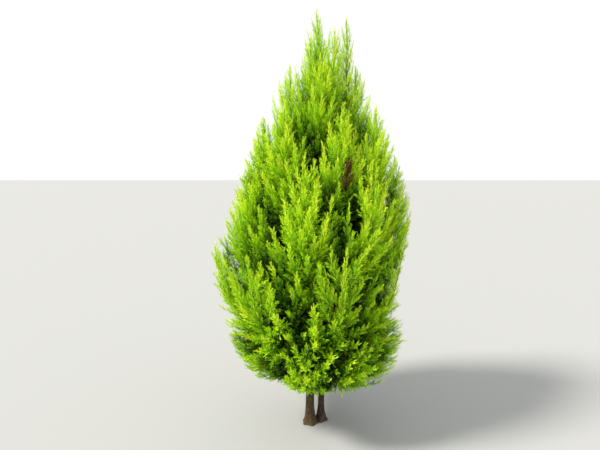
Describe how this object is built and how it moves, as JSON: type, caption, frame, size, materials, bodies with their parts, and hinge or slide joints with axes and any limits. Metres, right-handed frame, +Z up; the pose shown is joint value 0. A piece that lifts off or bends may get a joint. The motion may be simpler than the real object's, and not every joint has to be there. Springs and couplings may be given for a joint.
{
  "type": "young golden cypress tree",
  "caption": "Conical evergreen tree with a stem forked at the root, upright plumes of lime foliage almost to the ground, and a flat cut at ground level.",
  "frame": {"origin": "middle of the main stem's flat cut at ground level", "axes": "+Z straight up, +X to the right seen from the front, -Y towards the front"},
  "size_m": [1.1094, 1.0752, 2.3565],
  "materials": {
    "bark": "rough, fibrous grey-brown bark in upright strips",
    "bough_bark": "matte reddish-brown young bark",
    "foliage": "matte lime to yellow-green scale foliage, darker inside"
  },
  "bodies": {
    "root": {"stem_main": "bark", "stem_second": "bark", "bough_lower_1": "bough_bark", "bough_lower_2": "bough_bark", "bough_lower_3": "bough_bark", "bough_lower_4": "bough_bark", "bough_lower_5": "bough_bark", "bough_lower_6": "bough_bark", "bough_lower_7": "bough_bark", "bough_middle_1": "bough_bark", "bough_middle_2": "bough_bark", "bough_middle_3": "bough_bark", "bough_middle_4": "bough_bark", "bough_middle_5": "bough_bark", "bough_middle_6": "bough_bark", "bough_middle_7": "bough_bark", "bough_skirt_1": "bough_bark", "bough_skirt_2": "bough_bark", "bough_skirt_3": "bough_bark", "bough_skirt_4": "bough_bark", "bough_skirt_5": "bough_bark", "bough_skirt_6": "bough_bark", "bough_skirt_7": "bough_bark", "foliage_crest_1": "foliage", "foliage_crest_2": "foliage", "foliage_leader_main": "foliage", "foliage_leader_second": "foliage", "foliage_lower_1": "foliage", "foliage_lower_2": "foliage", "foliage_lower_3": "foliage", "foliage_lower_4": "foliage", "foliage_lower_5": "foliage", "foliage_lower_6": "foliage", "foliage_lower_7": "foliage", "foliage_middle_1": "foliage", "foliage_middle_2": "foliage", "foliage_middle_3": "foliage", "foliage_middle_4": "foliage", "foliage_middle_5": "foliage", "foliage_middle_6": "foliage", "foliage_middle_7": "foliage", "foliage_shoulder_1": "foliage", "foliage_shoulder_2": "foliage", "foliage_shoulder_3": "foliage", "foliage_shoulder_4": "foliage", "foliage_shoulder_5": "foliage", "foliage_skirt_1": "foliage", "foliage_skirt_2": "foliage", "foliage_skirt_3": "foliage", "foliage_skirt_4": "foliage", "foliage_skirt_5": "foliage", "foliage_skirt_6": "foliage", "foliage_skirt_7": "foliage", "foliage_upper_1": "foliage", "foliage_upper_2": "foliage", "foliage_upper_3": "foliage", "foliage_upper_4": "foliage", "foliage_upper_5": "foliage", "foliage_upper_6": "foliage", "foliage_upper_7": "foliage"}
  },
  "joints": []
}
